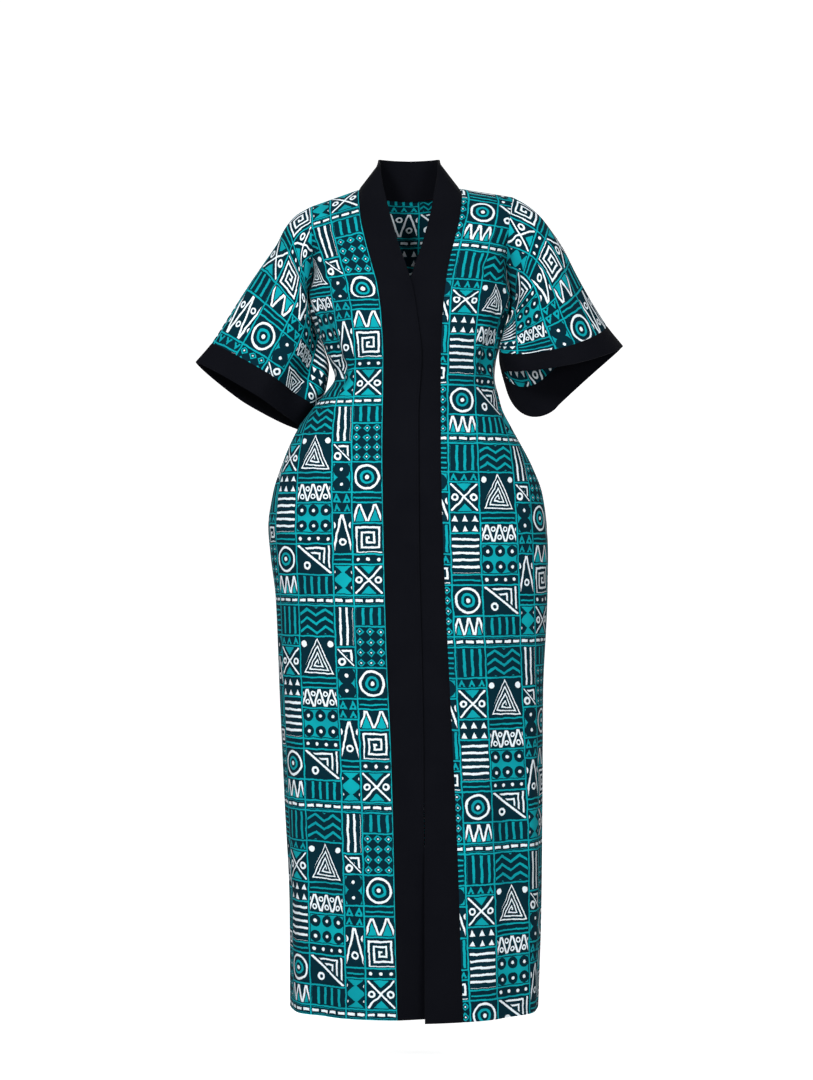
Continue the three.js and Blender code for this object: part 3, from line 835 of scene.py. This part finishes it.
# Strips of the print from left to right: width in pitches, then what lies above its row of dashes, as
# (height in pitches, motif, how many times it is repeated across)
STRIPS = [
    (3, [
        (3, "square_spiral", 1), (1, "lines", 1), (3, "cross", 1), (2, "bars", 1),
        (4, "zigzag_rings", 2), (1, "saw", 3), (3, "triangle_spiral", 1), (2, "dots", 3),
    ]),
    (2, [
        (4, "discs", 1), (2, "split", 1), (3, "diamonds", 2), (1, "lines", 1),
        (4, "rungs", 1), (2, "hourglass", 1), (3, "chevrons", 1),
    ]),
    (4, [
        (3, "zigzag_rings", 2), (1, "saw", 4), (2, "bars", 1), (4, "rungs", 1),
        (3, "zigzag_fill", 2), (1, "lines", 1), (3, "cross", 1), (2, "triangles", 4),
    ]),
    (3, [
        (3, "split", 1), (2, "chevrons", 3), (3, "triangle_spiral", 1), (1, "dots", 3),
        (4, "discs", 2), (3, "square_spiral", 1), (1, "lines", 1), (2, "diamonds", 3),
    ]),
    (2, [
        (5, "diamonds", 2), (2, "square_spiral", 1), (1, "saw", 2), (3, "bars", 1),
        (3, "zigzag_rings", 1), (2, "discs", 1), (3, "lines", 1),
    ]),
    (3, [
        (2, "zigzag_fill", 3), (3, "eye", 1), (1, "lines", 1), (4, "rungs", 1),
        (2, "triangles", 3), (3, "cross", 1), (1, "saw", 3), (3, "bars", 1),
    ]),
    (4, [
        (2, "bars", 1), (3, "split", 1), (1, "dots", 4), (3, "discs", 3),
        (2, "zigzag_rings", 3), (1, "lines", 1), (4, "triangle_spiral", 1), (3, "chevrons", 2),
    ]),
    (2, [
        (3, "hourglass", 1), (1, "lines", 1), (4, "zigzag_rings", 1), (2, "saw", 2),
        (3, "discs", 1), (2, "split", 1), (4, "ladder", 1),
    ]),
    (3, [
        (3, "cross", 1), (1, "dots", 3), (3, "square_spiral", 1), (2, "zigzag_fill", 2),
        (1, "lines", 1), (3, "eye", 1), (4, "diamonds", 3), (2, "bars", 1),
    ]),
]
REPEAT_ACROSS = sum(width for width, _ in STRIPS)
KINDS = sorted({"dashes"}.union(kind for _, cells in STRIPS for _, kind, _ in cells))

# The strips and cells are read from colour ramps, a slot for each pitch. A ramp holds values up to 1, so
# what it holds is divided by these
STRIPS_PER_TABLE = 3
SLOTS = 255
SLOT_LEAD = 0.25
SIZE_UNIT = 32
STRIP_UNIT = 16
COUNT_UNIT = 8


def stepped_table(entries, fac):
    """A colour ramp used as a table: entries are (first slot, red, green, blue, alpha)."""
    node = add_node("ShaderNodeValToRGB", {"Fac": fac})
    ramp = node.color_ramp
    ramp.interpolation = "CONSTANT"
    while len(ramp.elements) > 1:
        ramp.elements.remove(ramp.elements[-1])
    for i, (slot, *colour) in enumerate(entries):
        position = max(0, (slot - SLOT_LEAD) / SLOTS)
        element = ramp.elements[0] if i == 0 else ramp.elements.new(position)
        element.position = position
        element.color = colour
    return node.outputs["Color"], Number(node.outputs["Alpha"])


def channels(colour):
    node = add_node("ShaderNodeSeparateColor", {0: colour})
    return [Number(node.outputs[i]) for i in range(3)]


def mixed(factor, first, second):
    """A colour between two, by a Number. A Mix node's colour sockets come after those of other types."""
    inputs = {0: factor, 6: first, 7: second}
    return add_node("ShaderNodeMix", inputs, data_type="RGBA").outputs[2]


def cell_table(strips):
    entries = []
    for i, (width, cells) in enumerate(strips):
        start = 0
        for height, kind, count in [(1, "dashes", width), *cells]:
            values = [value / SIZE_UNIT for value in (start, height, KINDS.index(kind))]
            entries.append((i * REPEAT_UP + start, *values, count / COUNT_UNIT))
            start += height
    return entries


def strip_table():
    entries, start = [], 0
    for i, (width, _) in enumerate(STRIPS):
        entries.append((start, start / SIZE_UNIT, width / SIZE_UNIT, i / STRIP_UNIT, 1))
        start += width
    return entries


def print_cells(u, v):
    """The print's cell at a point: place in the cell, its sizes in pitches, its motif and its count."""
    across = part_of(u / REPEAT_ACROSS) * REPEAT_ACROSS
    colour, _ = stepped_table(strip_table(), (maths("FLOOR", across) + 0.5) / SLOTS)
    left, width, strip = channels(colour)
    strip = strip * STRIP_UNIT
    up = part_of(v / REPEAT_UP) * REPEAT_UP
    level = maths("FLOOR", up) + 0.5
    found = None
    for first in range(0, len(STRIPS), STRIPS_PER_TABLE):
        slot = (level + (strip - first) * REPEAT_UP) / SLOTS
        colour, count = stepped_table(cell_table(STRIPS[first : first + STRIPS_PER_TABLE]), slot)
        if found:
            is_here = strip > first - 0.5
            colour, count = mixed(is_here, found[0], colour), found[1] + (count - found[1]) * is_here
        found = colour, count
    low, height, kind = channels(found[0])
    left, width, low, height, kind = (value * SIZE_UNIT for value in (left, width, low, height, kind))
    return across - left, up - low, width, height, kind, found[1] * COUNT_UNIT


class Cell:
    """The measures that the motifs share, all in pitches."""

    def __init__(self, a, b, w, h, kind, count):
        self.a, self.b, self.w, self.h, self.kind = a, b, w, h, kind
        self.x, self.y = a - w * 0.5, b - h * 0.5
        self.half = lower(w, h) * 0.5
        self.tile_w = w / count
        self.tile_h = h / maths("ROUND", h / self.tile_w)
        # Place in the tile, from -0.5 to 0.5
        self.p, self.q = part_of(a / self.tile_w) - 0.5, part_of(b / self.tile_h) - 0.5
        self.spot = far(self.p * self.tile_w, self.q * self.tile_h)


# Plain stripes: which way they follow each other, how many a pitch, shift, share inked, and ink
STRIPES = {
    "lines": ("up", 2, 0.25, 0.3, 1),
    "rungs": ("up", 1.5, 0.05, 0.34, 2),
    "bars": ("across", 1.25, 0.1, 0.33, 1),
    "ladder": ("across", 1.5, 0.3, 0.33, 2),
}
# Chevrons: how many a pitch, and their rise over a tile
CHEVRON_RATE = 1.2
CHEVRON_RISE = 1.5

# Sizes of motifs in pitches: radii of dots and rings, outer before inner, steps, margins and lines
DOT = 0.17
SPLIT_RING = (0.4, 0.19)
CROSS_RING = (0.36, 0.17)
ZIGZAG_RING_MOST = 0.36
SQUARE_STEP = 0.5
SQUARE_MARGIN = 0.12
EYE_LINE = 0.22
TURNS_PER_PITCH = 1.8

# Sizes as shares of a tile
DISC = 0.43
DASH_LENGTH = 0.36
DASH_HEIGHT = 0.13
RAILS = (0.4, 0.3)
SAW_HEIGHT = 0.88
SAW_HOLE = 0.12
SAW_HOLE_LEVEL = -0.24
TRIANGLE_HEIGHT = 0.74
TRIANGLE_FOOT = -0.36
HOURGLASS_WAIST = 0.05
HOURGLASS_FLARE = 0.9
HOURGLASS_DOT = 0.13
DIAMOND = (0.42, 0.24, 0.1)
ZIGZAG_RING = 0.2

# Shares of a step that are inked
CHEVRON_INK = 0.32
SQUARE_INK = 0.38
SPIRAL_INK = 0.36
HOOK_INK = 0.36

# Sizes as shares of a cell
ZIGZAG_RING_LEVEL = 0.3
ZIGZAG_RING_LIFT = 0.4
HOOK_GAP = 0.13
SPLIT_SPOT = -0.2
SPLIT_LINE = 0.045
CROSS_SPOT = 0.31
CROSS_LINE = 0.042
CROSS_FILL = 0.2

# Sizes as shares of half a cell: the eye, and the triangular spiral with its two marks
EYE = 0.84
EYE_CORE = (0.46, 0.3, 0.14)
SPIRAL_CENTRE = -0.3
SPIRAL_BELOW = 0.6
SPIRAL_ABOVE = 1.25
SPIRAL_SLOPE = 1.947
SPIRAL_EDGE = 0.98
MARK_X = 0.74
MARK_Y = 0.62
MARK_RADIUS = 0.15
# The fill under a zigzag keeps clear of it by this many times half its line
FILL_GAP = 2.2


def ringed(distance, outer, inner):
    return (distance < outer) * (distance > inner)


def bullseye(distance, teal, navy, white):
    """Teal inside the first distance, navy inside the second and white inside the third."""
    return (distance < teal) - (distance < navy) + (distance < white) * 2


# Each motif gives 1 where it is teal and 2 where it is white
def stripes(cell):
    for name, (way, rate, shift, share, ink) in STRIPES.items():
        place = cell.b if way == "up" else cell.a
        yield name, (part_of(place * rate + shift) < share) * ink
    yield "chevrons", part_of(cell.b * CHEVRON_RATE + abs(cell.p) * CHEVRON_RISE) < CHEVRON_INK


def small_motifs(cell):
    p, q = abs(cell.p), cell.q
    dot = (cell.spot < DOT) * 2
    yield "discs", 1 - (cell.spot < cell.tile_w * DISC) + dot
    yield "dots", dot
    dash = (abs(q) < DASH_HEIGHT) * (p < DASH_LENGTH) * 2
    yield "dashes", dash + ringed(abs(q), *RAILS)
    peak = q + 0.5 + p * 2
    yield "saw", (peak < SAW_HEIGHT) - (far(cell.p, q - SAW_HOLE_LEVEL) < SAW_HOLE)
    yield "triangles", (peak < TRIANGLE_HEIGHT) * (q > TRIANGLE_FOOT) * 2
    waist = p < abs(q) * HOURGLASS_FLARE + HOURGLASS_WAIST
    yield "hourglass", waist + (far(p - 0.5, q) < HOURGLASS_DOT) * 2
    yield "diamonds", bullseye(p + abs(q), *DIAMOND)


def spirals(cell):
    x, y, half = cell.x, cell.y, cell.half
    below = y < 0
    ring = higher(abs(x - below * (SQUARE_STEP / 2)), abs(y))
    line = part_of(ring / SQUARE_STEP + below * 0.5) < SQUARE_INK
    yield "square_spiral", line * (ring < half - SQUARE_MARGIN) * 2
    x, y = x / half, y / half
    up = y - SPIRAL_CENTRE
    ring = higher(up / -SPIRAL_BELOW, (abs(x) * SPIRAL_SLOPE + up) / SPIRAL_ABOVE)
    around = maths("ARCTAN2", up, x) / (2 * math.pi)
    line = (part_of(ring * half * TURNS_PER_PITCH - around) < SPIRAL_INK) * (ring < SPIRAL_EDGE)
    mark = far(abs(x) - MARK_X, y - MARK_Y) < MARK_RADIUS
    yield "triangle_spiral", higher(line, mark) * 2


def zigzags(cell):
    slope = cell.h * 2 / cell.tile_w
    width = maths("SQRT", slope * slope + 1) * LINE
    rise = cell.b / cell.h
    above = (rise - 1 + abs(cell.p) * 2) * cell.h
    line = abs(above) < width
    is_above = above > 0
    side = (abs(cell.p) - is_above * 0.5) * cell.tile_w
    spot = far(side, (rise - ZIGZAG_RING_LEVEL - is_above * ZIGZAG_RING_LIFT) * cell.h)
    size = lower(cell.tile_w * ZIGZAG_RING, ZIGZAG_RING_MOST)
    yield "zigzag_rings", higher(line, ringed(spot, size, size * 0.5)) * 2
    yield "zigzag_fill", higher(line * 2, above < width * -FILL_GAP)


def large_motifs(cell):
    x, y, half = cell.x, cell.y, cell.half
    centre, eye = far(x, y), half * EYE
    core = bullseye(centre, *(half * share for share in EYE_CORE))
    yield "eye", higher(ringed(centre, eye, eye - EYE_LINE) * 2, core)
    lean = x / cell.w + y / cell.h
    hook = (lean > HOOK_GAP) * (part_of(higher(x, y) * 2) < HOOK_INK)
    ring = ringed(far(x - cell.w * SPLIT_SPOT, y - cell.h * SPLIT_SPOT), *SPLIT_RING)
    yield "split", higher(higher(hook, ring), abs(lean) < SPLIT_LINE) * 2
    tilt = abs(x) / cell.w - abs(y) / cell.h
    ring = ringed(far(abs(x) - cell.w * CROSS_SPOT, y), *CROSS_RING)
    yield "cross", higher(higher(abs(tilt) < CROSS_LINE, ring) * 2, tilt < -CROSS_FILL)


def print_ink(cell):
    """0 where the print is navy, 1 where it is teal and 2 where it is white."""
    ink = None
    for motifs in (stripes, small_motifs, spirals, zigzags, large_motifs):
        for name, value in motifs(cell):
            value = value * maths("COMPARE", cell.kind, KINDS.index(name), 0.5)
            ink = value if ink is None else ink + value
    edge = lower(lower(cell.a, cell.w - cell.a), lower(cell.b, cell.h - cell.b))
    return ink * (edge > FRAME_GAP) + (edge < FRAME_LINE)


def new_material(name):
    material = bpy.data.materials.new(name)
    material.use_nodes = True
    Number.tree = material.node_tree
    return material, material.node_tree.nodes["Principled BSDF"]


def uv_of(name):
    vector = add_node("ShaderNodeUVMap", {}, uv_map=name).outputs[0]
    split = add_node("ShaderNodeSeparateXYZ", {0: vector})
    return vector, Number(split.outputs[0]), Number(split.outputs[1])


def noise(vector, scale, detail):
    """A soft random Number about 0.5 over the cloth's own coordinates."""
    node = add_node("ShaderNodeTexNoise", {"Vector": vector, "Scale": scale, "Detail": detail})
    return Number(node.outputs[0])


# Stitches, in metres: half their width, the step from one to the next, and their share of it
STITCH_HALF_WIDTH = 0.0004
STITCH_STEP = 0.0034
STITCH_SHARE = 0.76

# Noise over the cloths, as its scale and detail
WANDER = (55, 2)
FINE_WANDER = (420, 2)
PRINT_WEAR = (11, 3)
BAND_WEAR = (14, 3)
# Ink above the first is teal, and above the second white
TEAL_INK = 0.5
WHITE_INK = 1.5
# The teal turns deep as the print's wear, times the first, passes the second
TEAL_CONTRAST = 2.4
TEAL_START = 0.9

# Bump in metres at a height of 1, and each cloth's heights and surface. Thread and inset are in metres
BUMP = 0.0003
SHEEN = 0.01
PRINT_LOOK = {
    "thread": 0.0006, "inset": 0.022, "weave": 0.25, "stitch": 1.4, "wear": 0.6,
    "surface": {"Roughness": 0.85, "Specular IOR Level": 0.03, "Sheen Roughness": 0.4},
}
BAND_LOOK = {
    "thread": 0.0007, "inset": 0.003, "weave": 0.3, "stitch": 1.3, "wear": 0.8,
    "surface": {"Roughness": 0.8, "Specular IOR Level": 0.02, "Sheen Roughness": 0.35},
}

NAVY = (0.001, 0.019, 0.031, 1)
TEAL = (0.003, 0.35, 0.4, 1)
DEEP_TEAL = (0.003, 0.23, 0.28, 1)
WHITE = (0.76, 0.84, 0.89, 1)
BLACK = (0.0022, 0.0025, 0.0042, 1)
WORN_BLACK = (0.0042, 0.0046, 0.0068, 1)


def weave(u, v, thread):
    """Height of a plain weave with threads of the given width in metres."""
    warp = maths("SINE", u * (math.pi / thread))
    weft = maths("SINE", v * (math.pi / thread))
    return warp * weft


def stitches(distance, along, inset):
    """1 on a line of stitches at an inset from an edge, in metres."""
    across = abs(distance - inset) < STITCH_HALF_WIDTH
    return across * (part_of(along / STITCH_STEP) < STITCH_SHARE)


def finish_cloth(shader, u, v, wear, look):
    """Gives a cloth its weave, its line of stitches and its matt surface."""
    _, distance, along = uv_of("stitch")
    sewn = stitches(distance, along, look["inset"]) * look["stitch"]
    height = weave(u, v, look["thread"]) * look["weave"] - sewn + wear * look["wear"]
    bump = add_node("ShaderNodeBump", {"Strength": 1, "Distance": BUMP, "Height": height})
    feed(shader, {"Sheen Weight": SHEEN, "Normal": bump.outputs[0], **look["surface"]})


def print_material():
    material, shader = new_material("patchwork_print")
    vector, u, v = uv_of("cloth")
    wander = (noise(vector, *WANDER) - 0.5) * WOBBLE
    blot = (noise(vector, *FINE_WANDER) - 0.5) * BLOT
    ink = print_ink(Cell(*print_cells(u / PITCH + wander + blot, v / PITCH - wander + blot)))
    wear = noise(vector, *PRINT_WEAR)
    deep = lower(1, higher(0, wear * TEAL_CONTRAST - TEAL_START))
    colour = mixed(ink > TEAL_INK, NAVY, mixed(deep, TEAL, DEEP_TEAL))
    feed(shader, {"Base Color": mixed(ink > WHITE_INK, colour, WHITE)})
    finish_cloth(shader, u, v, wear, PRINT_LOOK)
    return material


def band_material():
    material, shader = new_material("black_band_cloth")
    vector, u, v = uv_of("cloth")
    wear = noise(vector, *BAND_WEAR)
    feed(shader, {"Base Color": mixed(wear, BLACK, WORN_BLACK)})
    finish_cloth(shader, u, v, wear, BAND_LOOK)
    return material


# Edges of a grid, by rows and columns
FIRST_ROW, LAST_ROW = (0, slice(None)), (-1, slice(None))
FIRST_COLUMN, LAST_COLUMN = (slice(None), 0), (slice(None), -1)
BODY_SEAMS = [FIRST_COLUMN, LAST_COLUMN, LAST_ROW]
# Lines of stitches: the axis along which they lie away from an edge, and whether from both edges
HEM_STITCHES, SIDE_STITCHES, END_STITCHES = (0, False), (1, True), (0, True)
# Where a tube's print starts: in the column of the shoulder seam
TUBE_PRINT = (len(LEVELS) - 1 - UNDERARM_ROW, PRINT_SHIFTS["sleeve"])


def cut_piece(node, slot, grid, flip, seams, print_place, stitch, closed=False, dips=0):
    """One piece: its solid's node, its cloth, its grid of points, its sewn edges, print and stitches."""
    return {
        "node": node, "name": node + "_cloth", "slot": slot, "grid": grid, "flip": flip, "seams": seams,
        "print": print_place, "stitch": stitch, "closed": closed, "dips": dips,
    }


def back_piece(back):
    dips = -BACK_SHARE * (body_dips(back, 0) + body_dips(back, -1))
    place = (FRONT_COLUMNS + NECK_COLUMNS, PRINT_SHIFTS["back"])
    return cut_piece("back", "print_cloth", back, True, BODY_SEAMS, place, HEM_STITCHES, dips=dips)


def side_pieces(side, back):
    """The front, band, sleeve and cuff of one side. The two sides' grids run opposite ways round."""
    front = front_grid(side)
    band = band_grid(side, front, back)
    loop = armhole_loop(side, front, back)
    sleeve = sleeve_grid(side, loop, np.linspace(0, 1, SLEEVE_RINGS + 1) ** RING_CROWDING)
    cuff = sleeve_grid(side, loop, np.linspace(1, CUFF_END, CUFF_RINGS + 1))
    flip = side == "right"
    place = (0, PRINT_SHIFTS["front_" + side], SIDES[side]["sign"])
    tube_seams = [FIRST_ROW, LAST_ROW]
    rows = [
        ("front", "print_cloth", front, flip, BODY_SEAMS, place, HEM_STITCHES, False, body_dips(front, -1)),
        ("band", "band_cloth", band, not flip, [FIRST_COLUMN], (), SIDE_STITCHES),
        ("sleeve", "print_cloth", sleeve, not flip, tube_seams, TUBE_PRINT, None, True, sleeve_dips(sleeve)),
        ("cuff", "band_cloth", cuff, not flip, [FIRST_ROW], TUBE_PRINT, END_STITCHES, True),
    ]
    return [cut_piece(f"{kind}_{side}", *row) for kind, *row in rows]


def coat_pieces():
    back = back_grid()
    return [back_piece(back)] + [piece for side in SIDES for piece in side_pieces(side, back)]


# Flat cut of the cloth that shows in each kind of piece: width and length in metres, and area in
# square metres where the piece is no rectangle
CUTS = {
    "back": (0.65, 1.5, 0.79),
    "front": (0.28, 1.5, 0.33),
    "band": (0.062, 1.62, None),
    "sleeve": (0.53, 0.3, 0.105),
    "cuff": (0.56, 0.045, None),
}


def dress():
    materials = {"print_cloth": print_material(), "band_cloth": band_material()}
    parts = coat_pieces()
    weld(parts)
    for part in parts:
        piece = shell(part, materials[part["slot"]])
        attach(piece, "root")
        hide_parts(part["node"])
        width, length, area = CUTS[part["node"].split("_")[0]]


# The stage, in metres, then its own grey, light and roughness
FLOOR = -1.518
FLOOR_RADIUS = 5.5
SWEEP_RADIUS = 1.5
WALL_TOP = 7
SWEEP_STEPS = 12
STAGE_COLUMNS = 72
FLOOR_GREY = (0.7, 0.7, 0.7, 1)
FLOOR_GLOW = 0.8
FLOOR_ROUGHNESS = 0.9

# The studio: the white world's strength, where the lamps aim, and name, place, size and watts of each
PLAIN_WHITE = (1, 1, 1, 1)
WORLD_STRENGTH = 0.2
LAMP_AIM = (0, 0, -0.7)
LAMPS = [
    ("key", (-1.5, -4, 1.1), 0.8, 165),
    ("fill", (1.2, -4.2, -0.3), 1, 85),
    ("top", (0, -1.8, 2.6), 2, 12),
    ("back", (0, 3.2, 2.4), 1.5, 60),
]

# The camera's place in metres, and its sensor and lens in millimetres
CAMERA = (-0.0044, -3.8, -0.6125)
SENSOR_HEIGHT = 24
LENS = 48.25


def floor_material():
    material, shader = new_material("pale_floor")
    feed(shader, {"Base Color": FLOOR_GREY, "Roughness": FLOOR_ROUGHNESS})
    feed(shader, {"Emission Color": PLAIN_WHITE, "Emission Strength": FLOOR_GLOW})
    return material


def stage_outline():
    """Distances from the centre and heights of the stage, from the floor up into the round wall."""
    turn = np.radians(90 * np.arange(SWEEP_STEPS + 1) / SWEEP_STEPS)
    reach = FLOOR_RADIUS + SWEEP_RADIUS * np.sin(turn)
    height = FLOOR + SWEEP_RADIUS * (1 - np.cos(turn))
    return [(FLOOR_RADIUS / 2, FLOOR), *zip(reach, height), (FLOOR_RADIUS + SWEEP_RADIUS, WALL_TOP)]


def stage_faces(rings):
    """A fan round the centre point, then cells between each ring of points and the next."""
    index = closed_rows(1 + np.arange(rings * STAGE_COLUMNS).reshape(rings, STAGE_COLUMNS), True)
    first = index[0].tolist()
    a, b, c, d = corners(index)
    return [(0, *pair) for pair in zip(first, first[1:])] + np.stack([a, d, c, b], -1).reshape(-1, 4).tolist()


def stage():
    """A pale floor that sweeps up into a round wall, so that it lies behind the coat from every side."""
    turns = [2 * math.pi * i / STAGE_COLUMNS for i in range(STAGE_COLUMNS)]
    outline = stage_outline()
    points = [(0, 0, FLOOR)]
    points += [(reach * math.cos(turn), reach * math.sin(turn), z) for reach, z in outline for turn in turns]
    mesh = bpy.data.meshes.new("floor")
    mesh.from_pydata(points, [], stage_faces(len(outline)))
    mesh.materials.append(floor_material())
    mesh.shade_smooth()
    floor = add_object("floor", mesh)
    # The bright stage neither lights the cloth's folds nor shades it from the studio's soft light
    floor.visible_diffuse = False
    floor.visible_shadow = False
    floor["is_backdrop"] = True


def look(place, aim):
    """The turn of a lamp at a place that points it at its aim."""
    dx, dy, dz = (float(a - p) for a, p in zip(aim, place))
    return (math.atan2(math.hypot(dx, dy), -dz), 0, math.atan2(dy, dx) - math.pi / 2)


def light_scene():
    world = bpy.data.worlds.new("studio")
    bpy.context.scene.world = world
    world.use_nodes = True
    feed(world.node_tree.nodes["Background"], {"Color": PLAIN_WHITE, "Strength": WORLD_STRENGTH})
    for name, place, size, watts in LAMPS:
        lamp = bpy.data.lights.new(name, "AREA")
        lamp.size = size
        lamp.energy = watts
        light = add_object(name, lamp)
        light.location = place
        light.rotation_euler = look(place, LAMP_AIM)
    bpy.context.scene.view_settings.view_transform = "Standard"


def place_camera():
    data = bpy.data.cameras.new("camera")
    data.sensor_fit = "VERTICAL"
    data.sensor_height = SENSOR_HEIGHT
    data.lens = LENS
    camera = add_object("camera", data)
    camera.location = CAMERA
    camera.rotation_euler = (math.pi / 2, 0, 0)
    bpy.context.scene.camera = camera


def write_sizes():
    boxes = {"cad": cad_box, "visual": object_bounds()}
    plain = {name: [[float(v) for v in corner] for corner in box] for name, box in boxes.items()}


place_camera()
light_scene()
stage()
dress()
write_sizes()
